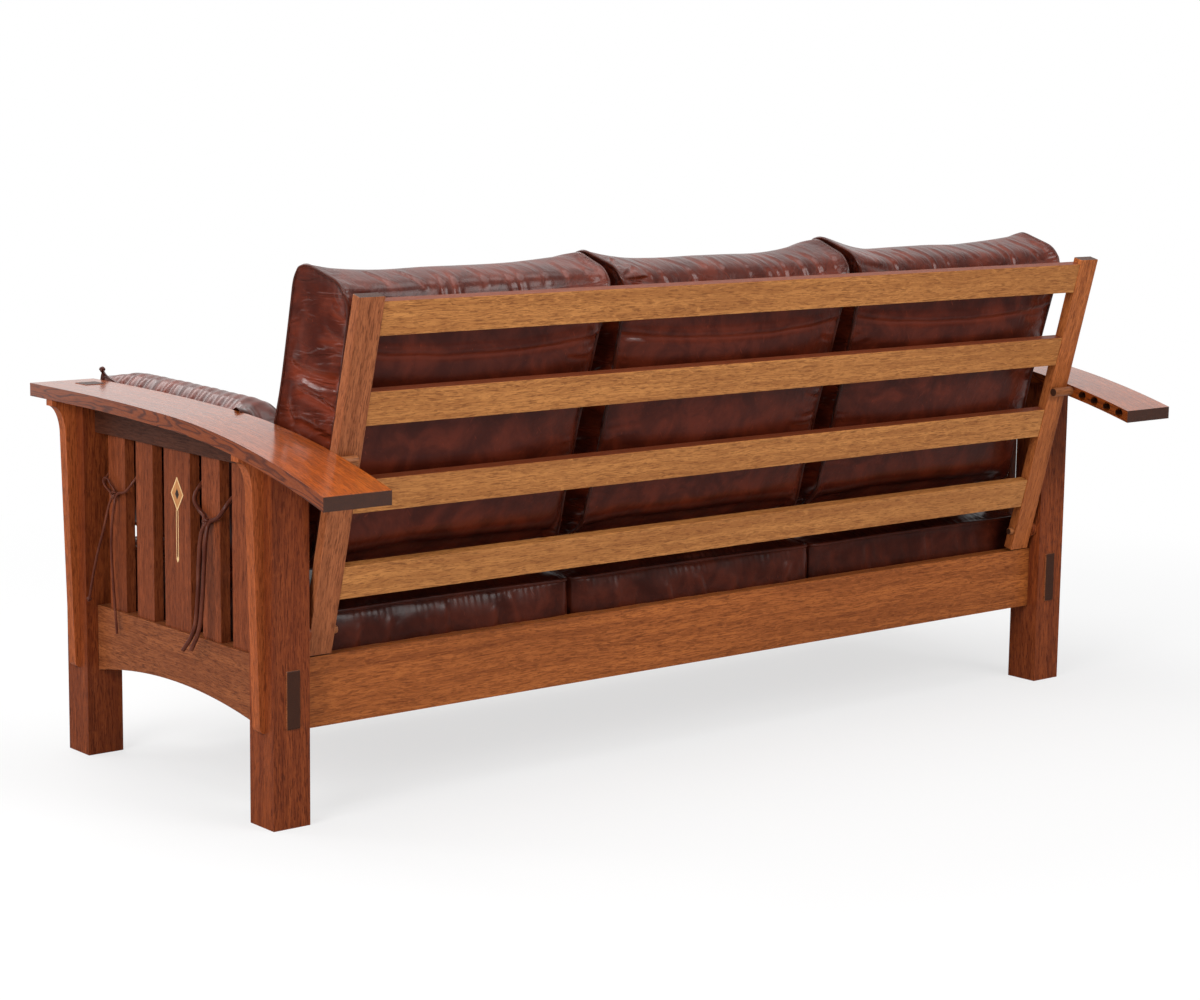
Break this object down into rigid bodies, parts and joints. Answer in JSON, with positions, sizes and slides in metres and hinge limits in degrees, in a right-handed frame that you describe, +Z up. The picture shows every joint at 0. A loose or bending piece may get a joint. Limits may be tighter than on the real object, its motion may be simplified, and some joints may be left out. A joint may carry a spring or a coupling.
{
  "type": "sofa",
  "caption": "Mission sofa with bowed arms, slatted sides, a slat back that tilts on pins and rests on pegs, and loose leather cushions with tied side pillows.",
  "frame": {"origin": "centre of the arms' overall width and depth, on the floor", "axes": "+Z up, the seat faces -Y, +X along the length towards the sitter's left arm"},
  "size_m": [2.164, 1.006, 0.9859],
  "materials": {
    "dark_oak": "reddish-brown stained quarter-sawn oak, satin varnish",
    "golden_oak": "golden-brown quarter-sawn oak, satin varnish",
    "leather": "dark chestnut pull-up leather, glossy",
    "lace": "dark brown leather thong",
    "inlay": "light maple and dark wood inlay, satin",
    "steel": "zinc-plated wood screws"
  },
  "bodies": {
    "base": {"leg_front_left": "dark_oak", "leg_front_right": "dark_oak", "leg_rear_left": "dark_oak", "leg_rear_right": "dark_oak", "arm_left": "dark_oak", "arm_right": "dark_oak", "front_rail": "dark_oak", "rear_rail": "golden_oak", "lower_side_rail_left": "dark_oak", "lower_side_rail_right": "dark_oak", "upper_side_rail_left": "dark_oak", "upper_side_rail_right": "dark_oak", "side_slat_left_1": "dark_oak", "side_slat_left_2": "dark_oak", "side_slat_left_3": "dark_oak", "side_slat_left_4": "dark_oak", "side_slat_left_5": "dark_oak", "side_slat_right_1": "dark_oak", "side_slat_right_2": "dark_oak", "side_slat_right_3": "dark_oak", "side_slat_right_4": "dark_oak", "side_slat_right_5": "dark_oak", "inlay_left": "inlay", "inlay_right": "inlay", "corbel_front_left": "dark_oak", "corbel_front_right": "dark_oak", "corbel_rear_left": "dark_oak", "corbel_rear_right": "dark_oak", "pivot_pin_left": "dark_oak", "pivot_pin_right": "dark_oak", "pivot_washer_left": "dark_oak", "pivot_washer_right": "dark_oak", "seat_cleat_front": "golden_oak", "seat_cleat_rear": "golden_oak", "seat_slats": "golden_oak", "cleat_screws": "steel", "seat_cushion_left": "leather", "seat_cushion_middle": "leather", "seat_cushion_right": "leather", "side_pillow_left": "leather", "side_pillow_right": "leather", "pillow_tie_left_front": "lace", "pillow_tie_left_rear": "lace", "pillow_tie_right_front": "lace", "pillow_tie_right_rear": "lace"},
    "back": {"back_stile_left": "golden_oak", "back_stile_right": "golden_oak", "back_rail_1": "golden_oak", "back_rail_2": "golden_oak", "back_rail_3": "golden_oak", "back_rail_4": "golden_oak"},
    "peg_left": {"support_peg_left": "golden_oak"},
    "peg_right": {"support_peg_right": "golden_oak"},
    "back_cushions": {"back_cushion_left": "leather", "back_cushion_middle": "leather", "back_cushion_right": "leather"}
  },
  "joints": [
    {"name": "back_tilt", "type": "hinge", "parent": "base", "child": "back", "pos_m": [0, 0.2408, 0.34], "axis": [1, 0, 0], "range_deg": [0, 6]},
    {"name": "back_cushion_slide", "type": "slide", "parent": "back", "child": "back_cushions", "axis": [0, 0.2499, 0.9683], "range_m": [0, 0.0224]},
    {"name": "peg_slide_left", "type": "slide", "parent": "base", "child": "peg_left", "axis": [-1, 0, 0], "range_m": [0, 0.045]},
    {"name": "peg_slide_right", "type": "slide", "parent": "base", "child": "peg_right", "axis": [1, 0, 0], "range_m": [0, 0.045]}
  ],
  "couplings": [
    {"joint": "back_cushion_slide", "follows": "back_tilt", "m_per_rad": 0.21}
  ]
}
